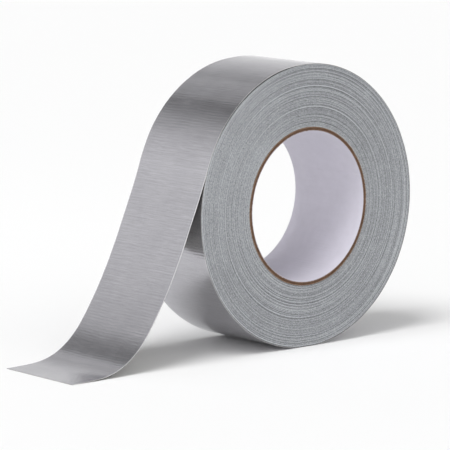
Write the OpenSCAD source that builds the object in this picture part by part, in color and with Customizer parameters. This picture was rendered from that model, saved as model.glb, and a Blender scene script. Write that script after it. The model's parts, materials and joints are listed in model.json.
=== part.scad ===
// Duct tape roll: a paper core, the wound tape, and the free end of the outermost turn,
// which leaves the roll at the peel line and curves down to the surface it stands on.
// Y is the roll's axis, Z is up, and the origin is the centre of the core's bore.
// Side views are drawn in a plane whose x is X and whose y is Z.

/* [Tape] */
// Width of the tape, along Y
tape_w = 50.8; // [24:0.1:100]
// Thickness of the plastic film, the outer layer
film_t = 0.075; // [0.05:0.005:0.12]
// Thickness of the woven cloth, the middle layer
scrim_t = 0.06; // [0.05:0.005:0.12]
// Thickness of the adhesive, the inner layer
adhesive_t = 0.09; // [0.05:0.005:0.15]

/* [Roll] */
// Outside diameter of the wound roll
roll_d = 144; // [120:1:180]
// Width of the flat that its own weight presses into the roll where it stands
foot_w = 14; // [2:1:20]

/* [Core] */
// Diameter of the hole through the core
bore_d = 76.2; // [50:0.1:90]
// Thickness of the smooth paper that lines the hole
liner_t = 0.3; // [0.1:0.05:0.6]
// Thickness of each of the three board plies
ply_t = 0.55; // [0.3:0.05:1]

/* [Tail] */
// Height of the peel line, as an angle at the roll's centre above level on the -X side
peel_angle = 19; // [5:1:23]
// Gap between two tail links, where the strip bends
link_gap = 0.2; // [0.15:0.05:1]

/* [Hidden] */
// Turn of each tail link away from the roll, in degrees. The last one ends level.
free_turns = [4, 0, 3, 5, 5, 22, 28];
tail_turns = concat(free_turns, [90 - peel_angle - sum(free_turns, len(free_turns))]);
links = len(tail_turns);

roll_r = roll_d / 2;
tape_t = film_t + scrim_t + adhesive_t;
// Centre line of the strip at the peel line, as a radius
mid_r = roll_r - tape_t / 2;

// Depths of each layer's two faces below the outside of the tape
film = [0, film_t];
scrim = [film_t, film_t + scrim_t];
adhesive = [film_t + scrim_t, tape_t];
LAYERS = [["film", film], ["scrim", scrim], ["adhesive", adhesive]];

liner_r = bore_d / 2 + liner_t;
core_r = liner_r + 3 * ply_t;

$fn = 180;

// Sum of the first n numbers of a list
function sum(list, n) = n == 0 ? 0 : list[n - 1] + sum(list, n - 1);

// Heading of the tail where link i starts, in degrees from straight down towards -X
function heading(i) = peel_angle + sum(tail_turns, i);

// Chord of an arc that turns by a, as a share of its length
function chord_share(a) = a == 0 ? 1 : sin(a / 2) / (a / 2 * PI / 180);

// Step from one end of link i to the other, for a link of length 1
function unit_step(i) =
    let (mean = heading(i) + tail_turns[i] / 2)
    chord_share(tail_turns[i]) * [-sin(mean), -cos(mean)];

// Way from the peel line to the start of link n, for links of length 1
function unit_way(n) = n == 0 ? [0, 0] : unit_way(n - 1) + unit_step(n - 1);

// The surface the roll stands on. The spiral is lowest in its second half turn, whose radius is
// smaller, and the flat is a chord of it.
foot_r = roll_r - tape_t / 2;
floor_z = -tape_t / 2 * sin(peel_angle) - sqrt(foot_r * foot_r - foot_w * foot_w / 4);

// The links are as long as it takes for the last one to lie on that surface
peel_line = mid_r * [-cos(peel_angle), sin(peel_angle)];
link_len = (floor_z + tape_t / 2 - peel_line.y) / unit_way(links).y;
function hinge_at(i) = peel_line + link_len * unit_way(i);

// Turns a side view upright, so that what was along Z lies along Y
module side_view() {
    rotate([90, 0, 0]) children();
}

// A sector of a ring about the origin, counted from +X
module ring_sector(r_in, r_out, angle) {
    rotate_extrude(angle = angle)
        translate([r_in, -tape_w / 2])
            square([r_out - r_in, tape_w]);
}

// A whole ring as wide as the tape
module sleeve(r_in, r_out) {
    side_view()
        difference() {
            cylinder(r = r_out, h = tape_w, center = true);
            cylinder(r = r_in, h = tape_w + 2, center = true);
        }
}

// The lower half of a wound shape whose upper half has radius r, down to the flat it stands on
module lower_half(r) {
    flat_z = floor_z + roll_r - r;
    difference() {
        rotate(180 - peel_angle)
            translate([-tape_t / 2, 0])
                ring_sector(0, r - tape_t / 2, 180);
        translate([-roll_r, flat_z - roll_r, -tape_w])
            cube([2 * roll_r, roll_r, 2 * tape_w]);
    }
}

// Two half turns that together make one turn of a spiral. Going back over the top from the
// peel line, the first is centred on the core. The second is smaller in radius by half the
// tape's thickness, about a centre moved by as much, so that it ends one thickness further in.
// r_in and r_out are the first one's radii.
module spiral_turn(r_in, r_out) {
    side_view() {
        rotate(-peel_angle)
            ring_sector(r_in, r_out, 180);
        difference() {
            lower_half(r_out);
            if (r_in > 0) lower_half(r_in);
        }
    }
}

module core_liner() {
    color("#b0b0bc") sleeve(bore_d / 2, liner_r);
}

module core_ply_inner() {
    color("#8a6a52") sleeve(liner_r, liner_r + ply_t);
}

module core_ply_middle() {
    color("#7d5f49") sleeve(liner_r + ply_t, liner_r + 2 * ply_t);
}

module core_ply_outer() {
    color("#8a6a52") sleeve(liner_r + 2 * ply_t, core_r);
}

// Every turn of the tape under the outermost one, with the layers of all of them together
module wound_tape() {
    color("#9a9ba1")
        difference() {
            spiral_turn(0, roll_r - tape_t);
            side_view() cylinder(r = core_r, h = tape_w + 2, center = true);
        }
}

// The colour of each layer of the strip
module layer_colour(name) {
    color(name == "film" ? "#adadb1" : name == "scrim" ? "#d8d6cc" : "#c2bfb2") children();
}

// One layer of the outermost turn, from the peel line back round to it
module outer_turn(name, depths) {
    layer_colour(name) spiral_turn(roll_r - depths[1], roll_r - depths[0]);
}

// One layer of tail link i: an arc about a centre on the film's side, or a straight strip
module tail_link(i, name, depths) {
    turn = tail_turns[i];
    radius = turn == 0 ? 0 : link_len / turn * 180 / PI;
    trim = turn == 0 ? 0 : link_gap / link_len * turn / 2;
    layer_colour(name)
        side_view()
            translate(hinge_at(i))
                rotate(-heading(i))
                    if (turn == 0)
                        translate([depths[0] - tape_t / 2, link_gap / 2 - link_len, -tape_w / 2])
                            cube([depths[1] - depths[0], link_len - link_gap, tape_w]);
                    else
                        translate([-radius, 0])
                            rotate(trim - turn)
                                ring_sector(
                                    radius - tape_t / 2 + depths[0],
                                    radius - tape_t / 2 + depths[1],
                                    turn - 2 * trim
                                );
}

core_liner();
core_ply_inner();
core_ply_middle();
core_ply_outer();
wound_tape();
for (layer = LAYERS)
    outer_turn(layer[0], layer[1]);
for (i = [1 : links], layer = LAYERS)
    tail_link(i - 1, layer[0], layer[1]);
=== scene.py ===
"""The looks of a duct tape roll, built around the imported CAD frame. Everything is in metres.

Y is the roll's axis and Z is up. Along the tape, s is 0 at the peel line, where the free end leaves
the roll. It is positive down the free end, and negative back over the top of the roll.
"""

import json
import math

import bpy
import numpy as np
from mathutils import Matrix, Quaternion, Vector

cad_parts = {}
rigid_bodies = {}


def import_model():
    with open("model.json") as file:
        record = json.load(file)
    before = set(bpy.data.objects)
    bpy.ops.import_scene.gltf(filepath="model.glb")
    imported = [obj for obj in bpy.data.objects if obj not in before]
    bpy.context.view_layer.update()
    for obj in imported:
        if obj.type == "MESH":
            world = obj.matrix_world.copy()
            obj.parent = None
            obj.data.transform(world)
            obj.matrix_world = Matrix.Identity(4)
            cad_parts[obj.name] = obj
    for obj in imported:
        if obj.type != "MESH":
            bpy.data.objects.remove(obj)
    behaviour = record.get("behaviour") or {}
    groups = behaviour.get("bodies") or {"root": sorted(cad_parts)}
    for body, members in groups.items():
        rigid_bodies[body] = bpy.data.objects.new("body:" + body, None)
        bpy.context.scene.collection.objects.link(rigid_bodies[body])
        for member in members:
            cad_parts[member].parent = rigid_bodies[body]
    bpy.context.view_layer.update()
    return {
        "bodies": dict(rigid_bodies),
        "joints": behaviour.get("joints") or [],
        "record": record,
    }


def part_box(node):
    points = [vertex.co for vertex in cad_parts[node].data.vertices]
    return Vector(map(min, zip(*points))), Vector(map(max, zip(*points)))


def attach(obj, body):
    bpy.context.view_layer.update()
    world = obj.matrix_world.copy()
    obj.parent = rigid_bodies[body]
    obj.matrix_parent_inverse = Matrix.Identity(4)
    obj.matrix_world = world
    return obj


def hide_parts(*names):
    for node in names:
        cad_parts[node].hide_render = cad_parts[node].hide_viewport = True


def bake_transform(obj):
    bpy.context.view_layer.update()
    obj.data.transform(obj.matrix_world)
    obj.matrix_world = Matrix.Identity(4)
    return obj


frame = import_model()

# ---------------------------------------------------------------- sizes

MM = 0.001
FILM_T = 0.075 * MM
SCRIM_T = 0.06 * MM
ADHESIVE_T = 0.09 * MM
TAPE_T = FILM_T + SCRIM_T + ADHESIVE_T
PLY_T = 0.55 * MM
LINER_T = 0.3 * MM
WEFT_PITCH = 1.6 * MM  # between the yarns that run across the tape
WARP_PITCH = 1.35 * MM  # between the yarns that run along it

JOINTS = {joint["name"]: joint for joint in frame["joints"]}
TAIL_BODIES = [name for name in frame["bodies"] if name.startswith("tail_")]
HALF_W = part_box("wound_tape")[1].y
FLOOR_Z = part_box("outer_turn_film")[0].z
BORE_R = next(m for m in frame["record"]["mounts"] if m["name"] == "core_bore")["dims"]["r_mm"] * MM


def side_point(joint):
    """Where a joint's axis is in the side view, as (x, z)."""
    x, _, z = JOINTS[joint]["pos_m"]
    return np.array([x, z])


PEEL = side_point("tail_peel")
ROLL_R = float(np.hypot(*PEEL))
PEEL_POLAR = math.atan2(PEEL[1], PEEL[0])
WOUND_R = ROLL_R - TAPE_T
LINER_R = BORE_R + LINER_T
CORE_R = LINER_R + 3 * PLY_T
TURNS = round((WOUND_R - CORE_R) / TAPE_T)


# ---------------------------------------------------------------- smooth random variation


def waves(seed, wavelength, spread=0.5, count=14):
    """A smooth random function of two lengths, about -1 to 1, made of plane waves near one wavelength."""
    rng = np.random.default_rng(seed)
    headings = rng.uniform(0, 2 * math.pi, count)
    numbers = 2 * math.pi / (wavelength * rng.uniform(1 - spread, 1 + spread, count))
    phases = rng.uniform(0, 2 * math.pi, count)

    def value(a, b):
        total = 0.0
        for heading, number, phase in zip(headings, numbers, phases):
            total = total + np.sin(number * (math.cos(heading) * a + math.sin(heading) * b) + phase)
        return total / math.sqrt(count)

    return value


# ---------------------------------------------------------------- the tape's path


def tail_knots():
    """Each tail link's start and its heading from straight down towards -X, and the length of a link."""
    starts = [PEEL * (1 - TAPE_T / 2 / ROLL_R)]
    starts += [side_point(f"tail_bend_{i}") for i in range(1, len(TAIL_BODIES))]
    headings = [math.pi - PEEL_POLAR]
    for start, end in zip(starts, starts[1:]):
        chord = math.atan2(start[0] - end[0], start[1] - end[1])
        headings.append(2 * chord - headings[-1])
    turn = headings[1] - headings[0]
    chord_share = math.sin(turn / 2) / (turn / 2)
    length = float(np.hypot(*(starts[1] - starts[0]))) / chord_share
    headings.append(math.pi / 2)  # the last link ends level
    return starts, headings, length


LINK_STARTS, LINK_HEADINGS, LINK_L = tail_knots()
TAIL_L = LINK_L * len(TAIL_BODIES)
TURN_L = 2 * math.pi * ROLL_R
PATH_STEP = 0.1 * MM
BEND_BLUR = 4 * MM  # length over which one bend of the strip passes into the next
PEEL_BEND = 3.5 * MM  # a length of strip at the peel line; it only goes into a line that nothing uses


def tail_centre_line():
    """Arc lengths and middle points of the free end, with the joins between its bends smoothed."""
    s = np.arange(-4 * BEND_BLUR, TAIL_L + 4 * BEND_BLUR, PATH_STEP)
    knots = np.arange(len(LINK_HEADINGS)) * LINK_L
    slopes = np.diff(LINK_HEADINGS) / LINK_L
    heading = np.interp(s, knots, LINK_HEADINGS)
    heading += np.minimum(s, 0) * slopes[0] + np.maximum(s - TAIL_L, 0) * slopes[-1]
    window = np.hanning(int(2 * BEND_BLUR / PATH_STEP) + 1)
    heading = np.convolve(heading, window / window.sum(), mode="same")
    on_tail = (s > -PATH_STEP / 2) & (s < TAIL_L + PATH_STEP)
    s, heading = s[on_tail], heading[on_tail]
    steps = np.stack([-np.sin(heading), -np.cos(heading)], axis=1) * PATH_STEP
    mean = (steps[1:] + steps[:-1]) / 2
    points = LINK_STARTS[0] + np.concatenate([[[0, 0]], np.cumsum(mean, axis=0)])
    end_z = FLOOR_Z + TAPE_T / 2
    points[:, 1] += (end_z - points[-1, 1]) * (s / s[-1])
    return s, points


TAIL_S, TAIL_POINTS = tail_centre_line()


def roll_radius(back, depth=0.0):
    """Radius of the outermost turn at an angle back over the top from the peel line, with its flat foot."""
    spiral = ROLL_R - TAPE_T * back / (2 * math.pi) - depth
    down = np.cos(PEEL_POLAR - back + math.pi / 2)
    near_foot = 0.9  # the flat can only count where down is more than this
    flat = np.where(down > near_foot, (-FLOOR_Z - depth) / np.maximum(down, near_foot), 2 * ROLL_R)
    soft = 0.01 * MM  # rounds the corner where the flat begins
    return (spiral + flat) / 2 - np.sqrt(((spiral - flat) / 2) ** 2 + soft**2)


LIFT = 0.55 * MM  # how far the outermost turn has come loose from the roll above the peel line
LIFT_AT, LIFT_REACH = -44 * MM, 40 * MM  # the middle of that place, and how far it reaches each way


def tape_line(s):
    """Outer face of the tape at arc lengths s: points and outward directions in the side view."""
    back = np.maximum(-s, 0) / ROLL_R
    polar = PEEL_POLAR - back
    radius = roll_radius(back)
    on_roll = np.stack([radius * np.cos(polar), radius * np.sin(polar)], axis=1)
    middle = np.stack([np.interp(s, TAIL_S, TAIL_POINTS[:, k]) for k in (0, 1)], axis=1)
    along = np.gradient(TAIL_POINTS, PATH_STEP, axis=0)
    way = np.stack([np.interp(s, TAIL_S, along[:, k]) for k in (0, 1)], axis=1)
    way /= np.linalg.norm(way, axis=1, keepdims=True)
    tail_out = np.stack([way[:, 1], -way[:, 0]], axis=1)
    on_tail = middle + tail_out * TAPE_T / 2
    roll_out = np.stack([np.cos(polar), np.sin(polar)], axis=1)
    on_foot = (np.abs(on_roll[:, 1] - FLOOR_Z) < 0.03 * MM)[:, None]
    roll_out = np.where(on_foot, [0.0, -1.0], roll_out)
    tail = (s > 0)[:, None]
    points = np.where(tail, on_tail, on_roll)
    out = np.where(tail, tail_out, roll_out)
    lift = LIFT * (1 - np.clip((s - LIFT_AT) / LIFT_REACH, -1, 1) ** 4) ** 2
    return points + out * lift[:, None], out


# ---------------------------------------------------------------- meshes


def grid_faces(index, flip=False):
    """The quads of a grid, whose vertex numbers are the 2-D array index."""
    a, b, c, d = index[:-1, :-1], index[1:, :-1], index[1:, 1:], index[:-1, 1:]
    quads = np.stack([a, d, c, b] if flip else [a, b, c, d], axis=-1).reshape(-1, 4)
    return quads.tolist()


def make_mesh(name, points, faces, uv=None, tone=None, crease=50):
    """A shaded mesh object. uv is the place on the strip in metres, for each point or each face corner,
    tone is a shade for its material, and edges that turn by more degrees than crease stay sharp."""
    mesh = bpy.data.meshes.new(name)
    mesh.from_pydata(np.asarray(points, float).tolist(), [], faces)
    mesh.update()
    if uv is not None:
        uv = np.asarray(uv, np.float32)
        if len(uv) == len(points):
            corners = np.zeros(len(mesh.loops), np.int32)
            mesh.loops.foreach_get("vertex_index", corners)
            uv = uv[corners]
        layer = mesh.uv_layers.new(name="strip")
        layer.data.foreach_set("uv", uv.ravel())
    if tone is not None:
        layer = mesh.attributes.new("tone", "FLOAT", "POINT")
        layer.data.foreach_set("value", np.asarray(tone, np.float32))
    mesh.polygons.foreach_set("use_smooth", np.ones(len(mesh.polygons), bool))
    mesh.set_sharp_from_angle(angle=math.radians(crease))
    piece = bpy.data.objects.new(name, mesh)
    bpy.context.scene.collection.objects.link(piece)
    return piece


def dress(piece, material, nodes, bodies):
    """Gives a piece its material, hides the CAD nodes it stands for, and attaches it to the body it rides
    on. A piece that lies between two bodies is left where it is, unattached.
    """
    piece.data.materials.append(material)
    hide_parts(*nodes)
    if len(bodies) == 1:
        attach(piece, bodies[0])
    else:
        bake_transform(piece)
    return piece


def place(side, y):
    """3-D points from side-view points (n, 2) and widths y (m) or (n, m), as an array (n, m, 3)."""
    y = np.broadcast_to(y, (len(side), np.shape(y)[-1]))
    x, z = (np.repeat(side[:, k : k + 1], y.shape[1], axis=1) for k in (0, 1))
    return np.stack([x, y, z], axis=-1)


def edge_y(s, side, seed):
    """The tape's cut edge, which wanders a few hundredths of a millimetre."""
    slow, quick = waves(seed, 18 * MM), waves(seed + 1, 2.2 * MM)
    return side * (HALF_W + 0.03 * MM * slow(s, 0) + 0.015 * MM * quick(s, 0))


def tape_layer(name, s, columns, depth, relief, outside):
    """One layer of the tape as a closed sheet, with depths of its two faces. The one face that shows,
    outside or inside, has the fine grid and the relief."""
    base, out = tape_line(s)
    share = np.linspace(0, 1, columns)
    front, back = edge_y(s, -1, seed=11), edge_y(s, 1, seed=13)
    y = front[:, None] * (1 - share) + back[:, None] * share
    fine_depth, plain_depth = depth if outside else depth[::-1]
    height = relief(s[:, None], y) - fine_depth
    fine = place(base, y)
    fine[..., 0] += out[:, :1] * height
    fine[..., 2] += out[:, 1:] * height
    plain = place(base - out * plain_depth, y[:, [0, -1]])
    points = np.concatenate([fine.reshape(-1, 3), plain.reshape(-1, 3)])
    shown = np.arange(len(s) * columns).reshape(-1, columns)
    hidden = shown.size + np.arange(len(s) * 2).reshape(-1, 2)
    flip = not outside
    faces = grid_faces(shown, flip)
    faces += grid_faces(hidden, not flip)
    faces += grid_faces(np.stack([hidden[:, 0], shown[:, 0]], axis=1), flip)
    faces += grid_faces(np.stack([shown[:, -1], hidden[:, 1]], axis=1), flip)
    first = shown[0].tolist() + hidden[0, ::-1].tolist()
    last = shown[-1, ::-1].tolist() + hidden[-1].tolist()
    faces += [first[::-1], last[::-1]] if flip else [first, last]
    wide = np.concatenate([y.ravel(), y[:, [0, -1]].ravel()])
    along = np.concatenate([np.repeat(s, columns), np.repeat(s, 2)])
    return make_mesh(name, points, faces, uv=np.stack([along, wide], axis=1))


# ---------------------------------------------------------------- relief of the cloth in the film

WEFT_SWAY = waves(21, 30 * MM)
WEFT_WAVER = waves(22, 6 * MM)
WEFT_HEIGHT = waves(23, 9 * MM)
FILM_SWELL = waves(24, 22 * MM)
FILM_DIMPLE = waves(25, 3.2 * MM)


def weft_phase(s, y):
    """Which weft yarn lies at a place on the tape: a whole number on each yarn's middle."""
    return s / WEFT_PITCH + 0.14 * WEFT_SWAY(y, s * 0.2) + 0.07 * WEFT_WAVER(y, s)


def film_relief(s, y):
    """Height of the film's outer face: ridges over the yarns across the tape, fainter ones over
    those along it, and soft swells."""
    weft = np.cos(2 * math.pi * weft_phase(s, y))
    warp = np.cos(2 * math.pi * y / WARP_PITCH)
    strength = 1 + 0.5 * WEFT_HEIGHT(s, y)
    fine = 0.008 * weft * strength + 0.002 * warp * strength
    return MM * (fine + 0.012 * FILM_SWELL(s, y) + 0.002 * FILM_DIMPLE(s, y))


def adhesive_relief(s, y):
    """Height of the sticky face over the yarns. A bulge is negative, because it points inwards."""
    weave = np.cos(2 * math.pi * weft_phase(s, y)) + np.cos(2 * math.pi * y / WARP_PITCH)
    return MM * (0.008 * weave + 0.012 * FILM_DIMPLE(y, s))


def gauze(name, s_from, s_to):
    """The cloth between film and adhesive, as woven yarns: weft across the tape and warp along it."""
    points, faces, uvs = [], [], []
    half_wide, half_thick = 0.16 * MM, 0.012 * MM
    depth = FILM_T + SCRIM_T / 2

    def yarn(s, y, lift, width_s, width_y):
        """A four-sided yarn through the places s, y, as high above the cloth's middle as lift says."""
        start = len(points)
        base, out = tape_line(s)
        along = np.stack([out[:, 1], -out[:, 0]], axis=1)
        for turn in range(4):
            side, up = math.cos(turn * math.pi / 2), math.sin(turn * math.pi / 2)
            at = base + out * (lift - depth + half_thick * up)[:, None] + along * (width_s * side)
            ring = np.stack([at[:, 0], y + width_y * side, at[:, 1]], axis=1)
            points.extend(ring.tolist())
            uvs.extend(np.stack([s, y], axis=1).tolist())
        index = start + np.arange(4 * len(s)).reshape(4, -1)
        faces.extend(grid_faces(np.concatenate([index, index[:1]])))
        faces.extend([index[:, 0].tolist(), index[::-1, -1].tolist()])

    first, last = math.ceil(s_from / WEFT_PITCH), math.ceil(s_to / WEFT_PITCH)
    weft_s = np.arange(first, last) * WEFT_PITCH
    warps = int(HALF_W / WARP_PITCH)
    warp_y = np.arange(-warps, warps + 1) * WARP_PITCH
    cross_y = np.concatenate([[-HALF_W], warp_y, [HALF_W]])
    over = np.where(np.arange(len(cross_y)) % 2, 1.0, -1.0)
    for k, s in zip(range(first, last), weft_s):
        lift = over * (1 if k % 2 else -1) * half_thick
        yarn(np.full(len(cross_y), s), cross_y, lift, half_wide, 0)
    for k, y in enumerate(warp_y):
        s = np.unique(np.clip(np.concatenate([[s_from], weft_s, [s_to]]), s_from, s_to))
        row = np.round(s / WEFT_PITCH).astype(int)
        lift = np.where((row + k) % 2, 1.0, -1.0) * half_thick
        yarn(s, np.full(len(s), y), lift, 0, half_wide)
    return make_mesh(name, points, faces, uv=uvs, crease=80)


# ---------------------------------------------------------------- the wound tape's sides

RING_SEGMENTS = 256
TURN_SPREAD = 0.018 * MM  # how far turns differ in height
TURN_STEP = 0.05 * MM  # how far a few of them stand proud or lie sunk
SIDE_GRAIN = 0.008 * MM  # height of the unevenness left by the knife
GROOVE_DEPTH = 0.07 * MM  # of the line between two turns
# Where the knife left fewer marks and the cut side is painted paler as a sheen, as an angle round the roll,
# and how far that reaches
CALM_AND_SHEEN_POLAR, CALM_AND_SHEEN_REACH = math.radians(152), math.radians(44)


def squash_foot(radius, polar):
    """Radii inside the roll, pressed in where it stands on its flat foot."""
    back = np.mod(PEEL_POLAR - polar, 2 * math.pi)
    round_r = WOUND_R - TAPE_T * back / (2 * math.pi)
    pressed = roll_radius(back, TAPE_T) / round_r
    share = np.clip((radius - CORE_R) / (round_r - CORE_R), 0, 1)
    return radius * (1 + (pressed - 1) * share)


def along_spiral(knots, q):
    """A value that has a knot at each quarter turn of the spiral, q segments along it."""
    return np.interp(q / RING_SEGMENTS * 4, np.arange(len(knots)), knots)


def polar_gap(a, b):
    """How far two angles are apart, from 0 to pi."""
    return np.abs(np.mod(a - b + math.pi, 2 * math.pi) - math.pi)


def wound_half(name, side, seed):
    """Half the width of the wound tape, whose cut side shows every turn as a ridge of its own height.
    A turn's height changes at each quarter of it, and changes over several turns are held back."""
    rng = np.random.default_rng(seed)
    n = RING_SEGMENTS
    quarters = 4 * TURNS + 1
    apart = 8
    own = rng.normal(0, 1, quarters + 2 * apart)
    own = own[apart:-apart] - 0.25 * (own[: -2 * apart] + own[2 * apart :])
    proud = rng.uniform(0.4, 1, quarters) * (rng.uniform(0, 1, quarters) < 0.06)
    sunk = rng.uniform(0.4, 1, quarters) * (rng.uniform(0, 1, quarters) < 0.05)
    grain = waves(seed + 3, 2.5 * MM, count=20)

    def row(q, between):
        """Points, tones and strip places at q segments along the spiral. between is 0 in the groove
        between two turns and 0.5 on the ridge of a turn."""
        polar = PEEL_POLAR + 2 * math.pi * q / n
        radius = CORE_R + TAPE_T * (q / n + between)
        x, z = np.cos(polar), np.sin(polar)
        alone = along_spiral(own, q)
        step = along_spiral(proud, q) - along_spiral(sunk, q)
        # The calm part has fewer knife marks, and the tone below also paints it paler there, a painted sheen
        calm_and_sheen = np.exp(-((polar_gap(polar, CALM_AND_SHEEN_POLAR) / CALM_AND_SHEEN_REACH) ** 2))
        rough = 1 - 0.55 * calm_and_sheen
        height = rough * (TURN_SPREAD * alone + TURN_STEP * step)
        height = height + SIDE_GRAIN * grain(radius * x, radius * z)
        inwards = (WOUND_R - radius) / TAPE_T  # turns in from the outside
        # rim paints a pale band about four turns in from the outside as a highlight, and a painted shadow on
        # the outermost turns, except in the calm part
        rim = np.exp(-(((inwards - 4) / 2) ** 2)) - 2 * (1 - calm_and_sheen) * np.exp(-((inwards / 1.5) ** 2))
        # The darkest shade of the cut side is 0, and the palest 1
        # Over their real height, proud turns are painted paler as a highlight and sunk ones darker as
        # painted shade
        tone = 0.48 + rough * (0.23 * alone + 0.5 * step) + 0.15 * calm_and_sheen + 0.2 * rim
        if between == 0:
            height = height - GROOVE_DEPTH
            tone = tone - 0.1
        r = squash_foot(radius, polar)
        y = side * (HALF_W + height)
        turned = 2 * math.pi * q / n
        along = turned * (CORE_R + TAPE_T * turned / (4 * math.pi))
        return np.stack([r * x, y, r * z], axis=1), tone, np.stack([along, radius], axis=1)

    grooves, tone_a, uv_a = row(np.arange(TURNS * n + 1), 0)
    ridges, tone_b, uv_b = row(np.arange((TURNS - 1) * n + 1), 0.5)
    low = np.arange(len(grooves))
    high = len(grooves) + np.arange(len(ridges))
    flip = side > 0
    rising = grid_faces(np.stack([low[: len(high)], high], axis=1), flip)
    falling = grid_faces(np.stack([high, low[n:]], axis=1), flip)
    inner = np.concatenate([low[: n + 1], high[:1]])
    outer = np.concatenate([low[(TURNS - 1) * n :], high[-1:]])
    points = np.concatenate([grooves, ridges])
    middle = points[np.concatenate([inner, outer])] * [1, 0, 1]
    deep = len(points) + np.arange(len(middle))
    deep_inner, deep_outer = deep[: len(inner)], deep[len(inner) :]

    def wall(loop_a, loop_b):
        """The band of faces between two closed loops of vertices."""
        closed = [np.append(loop, loop[0]) for loop in (loop_a, loop_b)]
        return grid_faces(np.stack(closed, axis=1), flip)

    walls = wall(deep_inner, inner) + wall(outer, deep_outer) + wall(deep_outer, deep_inner)
    blank = np.zeros((len(middle), 2))
    uv = np.concatenate([uv_a, uv_b, blank])
    uv_before = np.concatenate([uv_a[:n], uv_a[:-n] + [0, TAPE_T], uv_b, blank])
    corners = [uv[np.ravel(rising)], uv_before[np.ravel(falling)], uv[np.ravel(walls)]]
    points = np.concatenate([points, middle])
    tone = np.concatenate([tone_a, tone_b, np.full(len(middle), 0.5)])
    return make_mesh(name, points, rising + falling + walls, np.concatenate(corners), tone, crease=60)


# ---------------------------------------------------------------- the core


SEAM_FRAY = waves(79, 1.6 * MM, count=24)


def core_tube(name, r_in, r_out, roughness, seed, pale=(0, 0)):
    """A paper tube with soft rims and rough cut ends. pale says how bruised its inner and outer rims are."""
    around, steps = 720, 5
    rim = 0.07 * MM
    angle = np.linspace(0, 2 * math.pi, around, endpoint=False)
    across = np.linspace(r_in + rim, r_out - rim, steps)
    r = np.concatenate([[r_in], across, [r_out], [r_out], across[::-1], [r_in]])
    side = np.concatenate([-np.ones(steps + 2), np.ones(steps + 2)])
    on_face = (r > r_in) & (r < r_out)
    rough = waves(seed, 0.9 * MM, count=24)
    broad = waves(seed + 1, 14 * MM)
    x, z = np.cos(angle)[:, None], np.sin(angle)[:, None]
    fray = roughness * (rough(r * x, r * z + side) + 0.8 * broad(r * x, r * z + side))
    y = side * (HALF_W - np.where(on_face, 0.0, rim) + np.where(on_face, 1.0, 0.3) * fray)
    seam = r + roughness * 0.6 * SEAM_FRAY(r * x, r * z)
    points = np.stack([seam * x, y, seam * z], axis=-1)
    index = np.arange(points.size // 3).reshape(around, -1)
    index = np.concatenate([index, index[:1]])
    index = np.concatenate([index, index[:, :1]], axis=1)
    uv = np.stack([np.broadcast_to(angle[:, None] * r_out, y.shape), y + r], axis=-1)
    share = (r - r_in) / (r_out - r_in)
    tone = on_face * (pale[0] * (1 - share) ** 3 + pale[1] * share**3)
    tone = np.broadcast_to(tone, y.shape).ravel()
    return make_mesh(name, points.reshape(-1, 3), grid_faces(index), uv.reshape(-1, 2), tone, crease=35)


# ---------------------------------------------------------------- materials


def linear(value):
    """The linear value of a colour channel given as 0 to 255."""
    share = value / 255
    return share / 12.92 if share <= 0.04045 else ((share + 0.055) / 1.055) ** 2.4


def srgb(red, green, blue):
    """A colour given as 0 to 255, as linear RGBA."""
    return (linear(red), linear(green), linear(blue), 1.0)


class Nodes:
    """A node tree, with short calls for the nodes that vary a material or the world."""

    def __init__(self, tree):
        self.tree = tree

    def node(self, kind, inputs=None, **settings):
        made = self.tree.nodes.new("ShaderNode" + kind)
        for key, value in settings.items():
            setattr(made, key, value)
        for key, value in (inputs or {}).items():
            if isinstance(value, bpy.types.NodeSocket):
                self.tree.links.new(value, made.inputs[key])
            else:
                made.inputs[key].default_value = value
        return made

    def maths(self, operation, a, b=0.0, c=0.0):
        return self.node("Math", {0: a, 1: b, 2: c}, operation=operation).outputs[0]

    def fit(self, value, low, high, to_low, to_high):
        """value from low..high to to_low..to_high, held at the ends."""
        inputs = {"Value": value, "From Min": low, "From Max": high}
        inputs |= {"To Min": to_low, "To Max": to_high}
        return self.node("MapRange", inputs).outputs["Result"]

    def mix(self, share, a, b):
        """Colour a, or b where share is 1. The node's colour sockets are numbers 6 and 7."""
        return self.node("Mix", {0: share, 6: a, 7: b}, data_type="RGBA").outputs[2]


class Finish(Nodes):
    """A Principled material, with short calls for its patterns. sockets are those that hold one value."""

    def __init__(self, name, **sockets):
        self.material = bpy.data.materials.new(name)
        self.material.use_nodes = True
        super().__init__(self.material.node_tree)
        self.shader = self.tree.nodes["Principled BSDF"]
        for socket, value in sockets.items():
            self.shader.inputs[socket.replace("_", " ")].default_value = value

    def strip(self, along, across):
        """The place on the strip, in periods of the given lengths along and across it."""
        uv = self.node("UVMap", uv_map="strip").outputs["UV"]
        scale = (1 / along, 1 / across, 1)
        return self.node("Mapping", {"Vector": uv, "Scale": scale}).outputs["Vector"]

    def strip_place(self, axis):
        """The place along the strip, X, or across it from its middle, Y."""
        uv = self.node("UVMap", uv_map="strip").outputs["UV"]
        return self.node("SeparateXYZ", {0: uv}).outputs[axis]

    def tone(self):
        """The shade that the mesh gives each of its points."""
        return self.node("Attribute", attribute_name="tone").outputs["Fac"]

    def solid(self, period):
        """The place in the piece, in periods of one length."""
        place = self.node("TexCoord").outputs["Object"]
        return self.node("Mapping", {"Vector": place, "Scale": (1 / period,) * 3}).outputs["Vector"]

    def noise(self, vector, detail=3.0, roughness=0.55, distortion=0.0):
        inputs = {"Vector": vector, "Scale": 1.0, "Detail": detail}
        inputs |= {"Roughness": roughness, "Distortion": distortion}
        return self.node("TexNoise", inputs).outputs["Fac"]

    def bump(self, height, distance, strength=1.0, normal=None):
        inputs = {"Height": height, "Distance": distance, "Strength": strength}
        if normal is not None:
            inputs["Normal"] = normal
        return self.node("Bump", inputs).outputs["Normal"]

    def drive(self, socket, value):
        self.tree.links.new(value, self.shader.inputs[socket])


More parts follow.
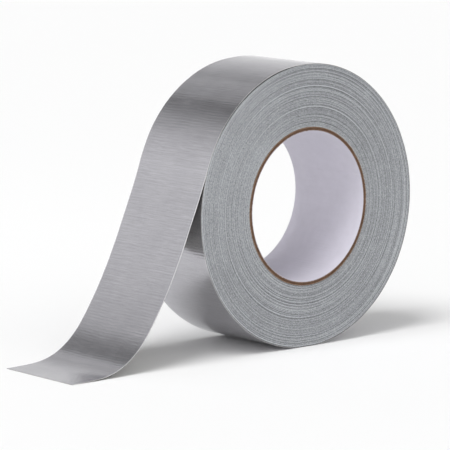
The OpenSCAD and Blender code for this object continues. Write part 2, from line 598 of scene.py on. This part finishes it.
def film_finish():
    """Silver film over cloth: a satin sheen, fine streaks across the tape and faint scuffs, with a painted
    highlight along its rims: pale there, and also dull on the free end, where the cut edge shows."""
    m = Finish("film", IOR=1.5)
    fine = m.noise(m.strip(0.5 * MM, 8 * MM), detail=2, roughness=0.5)
    wide = m.noise(m.strip(0.45 * MM, 45 * MM), detail=2, roughness=0.5)
    threads = m.noise(m.strip(9 * MM, 0.6 * MM), detail=3)
    clouds = m.noise(m.strip(26 * MM, 18 * MM), detail=4)
    grain = m.noise(m.strip(0.5 * MM, 0.9 * MM), detail=2)
    scuffs = m.noise(m.strip(1.0 * MM, 22 * MM), detail=4, roughness=0.65, distortion=0.1)
    streaks = m.maths("MULTIPLY_ADD", fine, 0.5, m.maths("MULTIPLY", wide, 0.5))
    colour = m.mix(m.fit(streaks, 0.35, 0.65, 0, 1), srgb(178, 177, 182), srgb(196, 195, 200))
    colour = m.mix(m.fit(threads, 0.35, 0.75, 0, 0.2), colour, srgb(206, 205, 209))
    colour = m.mix(m.fit(clouds, 0.4, 0.75, 0, 0.3), colour, srgb(172, 171, 177))
    colour = m.mix(m.fit(scuffs, 0.64, 0.74, 0, 0.45), colour, srgb(216, 215, 219))
    colour = m.mix(m.fit(scuffs, 0.36, 0.28, 0, 0.3), colour, srgb(156, 155, 160))
    from_middle = m.maths("ABSOLUTE", m.strip_place("Y"))
    # rim is a painted highlight along both edges of the film: a pale colour, and on the free end no metal,
    # so that it shows as a bright line
    rim = m.fit(from_middle, HALF_W - 0.35 * MM, HALF_W - 0.1 * MM, 0, 0.9)
    free_end_edge_highlight = m.maths("MULTIPLY", rim, m.fit(m.strip_place("X"), 0, 6 * MM, 0, 1))
    m.drive("Metallic", m.fit(free_end_edge_highlight, 0, 0.9, 0.88, 0.1))
    m.drive("Base Color", m.mix(rim, colour, srgb(232, 231, 234)))
    rough = m.maths("ADD", m.fit(clouds, 0.3, 0.7, 0.15, 0.19), m.fit(streaks, 0.35, 0.65, -0.02, 0.03))
    m.drive("Roughness", rough)
    m.drive("Normal", m.bump(streaks, 0.012 * MM, 0.5, m.bump(grain, 0.008 * MM, 0.5)))
    return m.material


def scrim_finish():
    """Off-white cotton yarn, with its twist and loose fibres."""
    m = Finish("scrim", Roughness=0.85, Sheen_Weight=0.3)
    twist = m.noise(m.strip(0.12 * MM, 0.12 * MM), detail=3)
    fibre = m.noise(m.strip(1.1 * MM, 1.1 * MM), detail=4)
    colour = m.mix(m.fit(twist, 0.3, 0.7, 0, 1), srgb(206, 202, 190), srgb(231, 228, 218))
    m.drive("Base Color", m.mix(m.fit(fibre, 0.4, 0.8, 0, 0.4), colour, srgb(190, 184, 170)))
    m.drive("Normal", m.bump(twist, 0.03 * MM, 0.7))
    return m.material


def adhesive_finish():
    """Tacky rubber adhesive over the cloth, which shows through it as a faint grid."""
    m = Finish("adhesive", IOR=1.47)
    weft = m.noise(m.strip(0.8 * MM, 12 * MM), detail=3)
    warp = m.noise(m.strip(12 * MM, 0.7 * MM), detail=3)
    blotch = m.noise(m.strip(7 * MM, 5 * MM), detail=5, roughness=0.65)
    grid = m.maths("MAXIMUM", weft, warp)
    colour = m.mix(m.fit(grid, 0.45, 0.7, 0, 1), srgb(122, 121, 116), srgb(150, 148, 141))
    m.drive("Base Color", m.mix(m.fit(blotch, 0.45, 0.75, 0, 0.35), colour, srgb(106, 105, 100)))
    m.drive("Roughness", m.fit(blotch, 0.3, 0.7, 0.28, 0.5))
    m.drive("Normal", m.bump(grid, 0.05 * MM, 0.6))
    return m.material


def wound_finish():
    """The cut side of many turns: grey film and adhesive lines with pale specks of cut yarn."""
    m = Finish("wound_edge", IOR=1.5)
    yarn = m.noise(m.strip(0.8 * MM, 0.4 * MM), detail=1, roughness=0.5)
    broad = m.noise(m.solid(16 * MM), detail=4)
    grain = m.noise(m.solid(0.5 * MM), detail=1, roughness=0.5)
    # The tone holds the cut side's random shades, and also its painted sheen, highlights and shadow
    shade = m.maths("ADD", m.tone(), m.fit(yarn, 0.3, 0.7, -0.3, 0.3))
    shade = m.maths("ADD", shade, m.fit(broad, 0.3, 0.7, -0.05, 0.05))
    shade = m.maths("ADD", shade, m.fit(grain, 0.3, 0.7, -0.14, 0.14))
    colour = m.mix(m.fit(shade, 0.0, 1.1, 0, 1), srgb(95, 97, 100), srgb(192, 195, 199))
    colour = m.mix(m.fit(yarn, 0.66, 0.76, 0, 0.5), colour, srgb(218, 219, 219))
    m.drive("Base Color", colour)
    m.drive("Roughness", m.fit(grain, 0.3, 0.7, 0.4, 0.6))
    m.drive("Normal", m.bump(yarn, 0.05 * MM, 0.6, m.bump(grain, 0.05 * MM, 0.6)))
    return m.material


def board_finish(name, dark, light):
    """Brown core board: short fibres, darker flecks and paler bruised rims."""
    m = Finish(name, Roughness=0.9, IOR=1.4)
    fibre = m.noise(m.solid(0.5 * MM), detail=5, roughness=0.65, distortion=0.6)
    layer = m.noise(m.solid(3.5 * MM), detail=4)
    fleck = m.noise(m.solid(1.4 * MM), detail=2)
    colour = m.mix(m.fit(fibre, 0.3, 0.7, 0, 1), dark, light)
    colour = m.mix(m.fit(layer, 0.4, 0.8, 0, 0.5), colour, srgb(124, 97, 78))
    colour = m.mix(m.fit(fleck, 0.62, 0.72, 0, 0.6), colour, srgb(48, 32, 24))
    pale = m.maths("MULTIPLY", m.tone(), m.fit(fibre, 0.3, 0.6, 0.3, 1))
    m.drive("Base Color", m.mix(pale, colour, srgb(204, 176, 152)))
    m.drive("Normal", m.bump(fibre, 0.15 * MM, 0.8))
    return m.material


def liner_finish():
    """Smooth lavender-grey paper inside the core, with a faint fibre cloud, brown where it is cut."""
    m = Finish("liner", IOR=1.45)
    cloud = m.noise(m.solid(5 * MM), detail=5, roughness=0.6)
    fibre = m.noise(m.solid(0.3 * MM), detail=4, roughness=0.7, distortion=0.5)
    colour = m.mix(m.fit(cloud, 0.3, 0.7, 0, 1), srgb(202, 199, 209), srgb(208, 205, 215))
    colour = m.mix(m.fit(fibre, 0.5, 0.8, 0, 0.25), colour, srgb(196, 193, 202))
    m.drive("Base Color", m.mix(m.tone(), colour, srgb(98, 74, 60)))
    m.drive("Roughness", m.fit(cloud, 0.3, 0.7, 0.55, 0.7))
    m.drive("Normal", m.bump(fibre, 0.03 * MM, 0.5))
    return m.material


FILM = film_finish()
SCRIM = scrim_finish()
ADHESIVE = adhesive_finish()
WOUND_EDGE = wound_finish()
BOARD = board_finish("board", srgb(80, 57, 44), srgb(123, 94, 73))
BOARD_MIDDLE = board_finish("board_middle", srgb(68, 50, 39), srgb(106, 82, 66))
LINER = liner_finish()

# ---------------------------------------------------------------- pieces

LAYERS = {
    "film": (FILM, (0, FILM_T)),
    "scrim": (SCRIM, (FILM_T, FILM_T + SCRIM_T)),
    "adhesive": (ADHESIVE, (FILM_T + SCRIM_T, TAPE_T)),
}


def layer_piece(layer, name, s_from, s_to, fine_s, fine_y):
    """One layer of the tape between two places along it."""
    if layer == "scrim":
        return gauze(name, s_from, s_to)
    s = np.linspace(s_from, s_to, max(3, round((s_to - s_from) / fine_s) + 1))
    columns = round(2 * HALF_W / fine_y) + 1
    relief = film_relief if layer == "film" else adhesive_relief
    return tape_layer(name, s, columns, LAYERS[layer][1], relief, layer == "film")


def outermost_turn():
    """The turn that goes from the peel line back over the top and round to it."""
    for layer, (material, _) in LAYERS.items():
        fine_s, fine_y = (0.33 * MM, 1.2 * MM) if layer == "film" else (0.8 * MM, 3 * MM)
        piece = layer_piece(layer, f"outer_{layer}", -TURN_L, 0, fine_s, fine_y)
        dress(piece, material, [f"outer_turn_{layer}"], ["roll"])


def free_end():
    """The free end, cut at the middle of each link, so that every piece spans one joint."""
    bodies = ["roll", *TAIL_BODIES]
    cuts = [0.0, *(LINK_L * (i + 0.5) for i in range(len(TAIL_BODIES))), TAIL_L]
    for k, (s_from, s_to) in enumerate(zip(cuts, cuts[1:])):
        rides = bodies[k : k + 2]
        line, _ = tape_line(np.array([s_from, s_to if k else PEEL_BEND]))
        for layer, (material, _) in LAYERS.items():
            fine = (0.25 * MM, 0.4 * MM) if layer == "film" else (0.5 * MM, 0.5 * MM)
            piece = layer_piece(layer, f"free_end_{k}_{layer}", s_from, s_to, *fine)
            node = f"{TAIL_BODIES[max(0, k - 1)]}_{layer}"
            dress(piece, material, [node], rides)


def wound_turns():
    """The turns under the outermost one, as a half for each cut side."""
    for name, side, seed in (("wound_front", -1, 41), ("wound_back", 1, 61)):
        dress(wound_half(name, side, seed), WOUND_EDGE, ["wound_tape"], ["roll"])


def core():
    """The board plies, with their rims pale where they are bruised, and the liner."""
    plies = [("inner", BOARD, (0.3, 0)), ("middle", BOARD_MIDDLE, (0, 0)), ("outer", BOARD, (0, 1))]
    for k, (name, material, pale) in enumerate(plies):
        r = LINER_R + k * PLY_T
        ply = core_tube(f"ply_{name}", r, r + PLY_T, 0.12 * MM, 80 + 5 * k, pale)
        dress(ply, material, [f"core_ply_{name}"], ["roll"])
    liner = core_tube("bore_liner", BORE_R, LINER_R, 0.02 * MM, 95, (1, 1))
    dress(liner, LINER, ["core_liner"], ["roll"])


outermost_turn()
free_end()
wound_turns()
core()

# ---------------------------------------------------------------- stage, light and camera


def make_floor():
    """A pale floor, just under the foot of the roll."""
    reach = 8.0
    z = FLOOR_Z - 0.01 * MM
    corners = [(-reach, -reach, z), (reach, -reach, z), (reach, reach, z), (-reach, reach, z)]
    m = Finish("floor", Base_Color=(0.9, 0.9, 0.9, 1), Roughness=0.9)
    floor = make_mesh("floor", corners, [[0, 1, 2, 3]])
    floor.data.materials.append(m.material)


WORLD_TOP = 2.7  # the brightness that the levels below are shares of
WORLD_TILT = 0.12  # how much brighter it is towards -X, and darker towards +X
# Share by the height of a direction on the +Y side, from 0, level, to 1, straight up
WORLD_LEVELS = [
    (0.0, 0.46),
    (0.15, 0.35),
    (0.30, 0.30),
    (0.49, 0.24),
    (0.60, 0.15),
    (0.68, 0.018),
    (0.80, 0.01),
    (1.0, 0.10),
]
WORLD_FRONT = (0.54, 0.37)  # share on the -Y side, from -X to +X
WORLD_FRONT_TOP = 0.62  # how much of that is left high up


def make_world():
    """Behind, a bright horizon, as paper gives, under a dark ceiling. In front, soft light all over."""
    world = bpy.data.worlds.new("studio")
    world.use_nodes = True
    bpy.context.scene.world = world
    m = Nodes(world.node_tree)
    way = m.node("SeparateXYZ", {0: m.node("TexCoord").outputs["Generated"]}).outputs
    ramp = m.node("ValToRGB", {"Fac": way["Z"]})
    stops = ramp.color_ramp.elements
    while len(stops) < len(WORLD_LEVELS):
        stops.new(1.0)
    for stop, (height, level) in zip(stops, WORLD_LEVELS):
        stop.position = height
        stop.color = (level, level, level, 1)
    by_height = m.fit(way["Z"], 0.1, 0.7, 1, WORLD_FRONT_TOP)
    front = m.maths("MULTIPLY", m.fit(way["X"], -1, 1, *WORLD_FRONT), by_height)
    in_front = m.fit(way["Y"], 0.1, -0.4, 0, 1)
    colour = m.mix(in_front, ramp.outputs["Color"], front)
    strength = m.fit(way["X"], -1, 1, WORLD_TOP * (1 + WORLD_TILT), WORLD_TOP * (1 - WORLD_TILT))
    background = m.tree.nodes["Background"]
    m.tree.links.new(colour, background.inputs["Color"])
    m.tree.links.new(strength, background.inputs["Strength"])


KEY_FROM = (-0.5, -0.1, 0.85)  # high up on the free end's side
KEY_POWER = 2.1  # watts per square metre
KEY_WIDTH = math.radians(30)  # how wide it looks from the roll
PANEL_AT = (0.002, 0.3, 0.26)
PANEL_SIZE = (0.106, 0.8)
PANEL_POWER = 0.060  # watts


def add_light(name, kind, power, position, target):
    """A light at a position, which shines towards a target."""
    lamp = bpy.data.objects.new(name, bpy.data.lights.new(name, kind))
    bpy.context.scene.collection.objects.link(lamp)
    lamp.data.energy = power
    lamp.location = position
    lamp.rotation_mode = "QUATERNION"
    lamp.rotation_quaternion = (Vector(target) - Vector(position)).to_track_quat("-Z", "Y")
    return lamp


def make_lights():
    """A big soft lamp that no surface mirrors, and a dim narrow panel over the roll that the film does."""
    key = add_light("key", "SUN", KEY_POWER, KEY_FROM, (0, 0, 0))
    key.data.angle = KEY_WIDTH
    key.visible_glossy = False
    panel = add_light("panel", "AREA", PANEL_POWER, PANEL_AT, (PANEL_AT[0], PANEL_AT[1], 0))
    panel.data.shape = "RECTANGLE"
    panel.data.size, panel.data.size_y = PANEL_SIZE


# The photograph's view, as fitted to the rims, the core and the far edge of the bore
CAMERA_AZIMUTH, CAMERA_ELEVATION, CAMERA_ROLL = math.radians(41.7), math.radians(8.64), math.radians(0.5)
CAMERA_TARGET = Vector((-33.6 * MM, 0, -9.3 * MM))
CAMERA_DISTANCE = 1477 * MM
CAMERA_LENS, CAMERA_SENSOR = 235.68, 36  # millimetres


def make_camera():
    """The camera of the view in which the roll's cut side and the free end both show."""
    level = math.cos(CAMERA_ELEVATION)
    x, y = -math.sin(CAMERA_AZIMUTH) * level, -math.cos(CAMERA_AZIMUTH) * level
    back = Vector((x, y, math.sin(CAMERA_ELEVATION)))
    camera = bpy.data.objects.new("camera", bpy.data.cameras.new("camera"))
    bpy.context.scene.collection.objects.link(camera)
    camera.data.sensor_width = CAMERA_SENSOR
    camera.data.lens = CAMERA_LENS
    camera.data.clip_start, camera.data.clip_end = 0.05, 50
    camera.location = CAMERA_TARGET + back * CAMERA_DISTANCE
    camera.rotation_mode = "QUATERNION"
    camera.rotation_quaternion = Quaternion(back, CAMERA_ROLL) @ back.to_track_quat("Z", "Y")
    bpy.context.scene.camera = camera


make_floor()
make_world()
make_lights()
make_camera()
bpy.context.scene.view_settings.view_transform = "Standard"
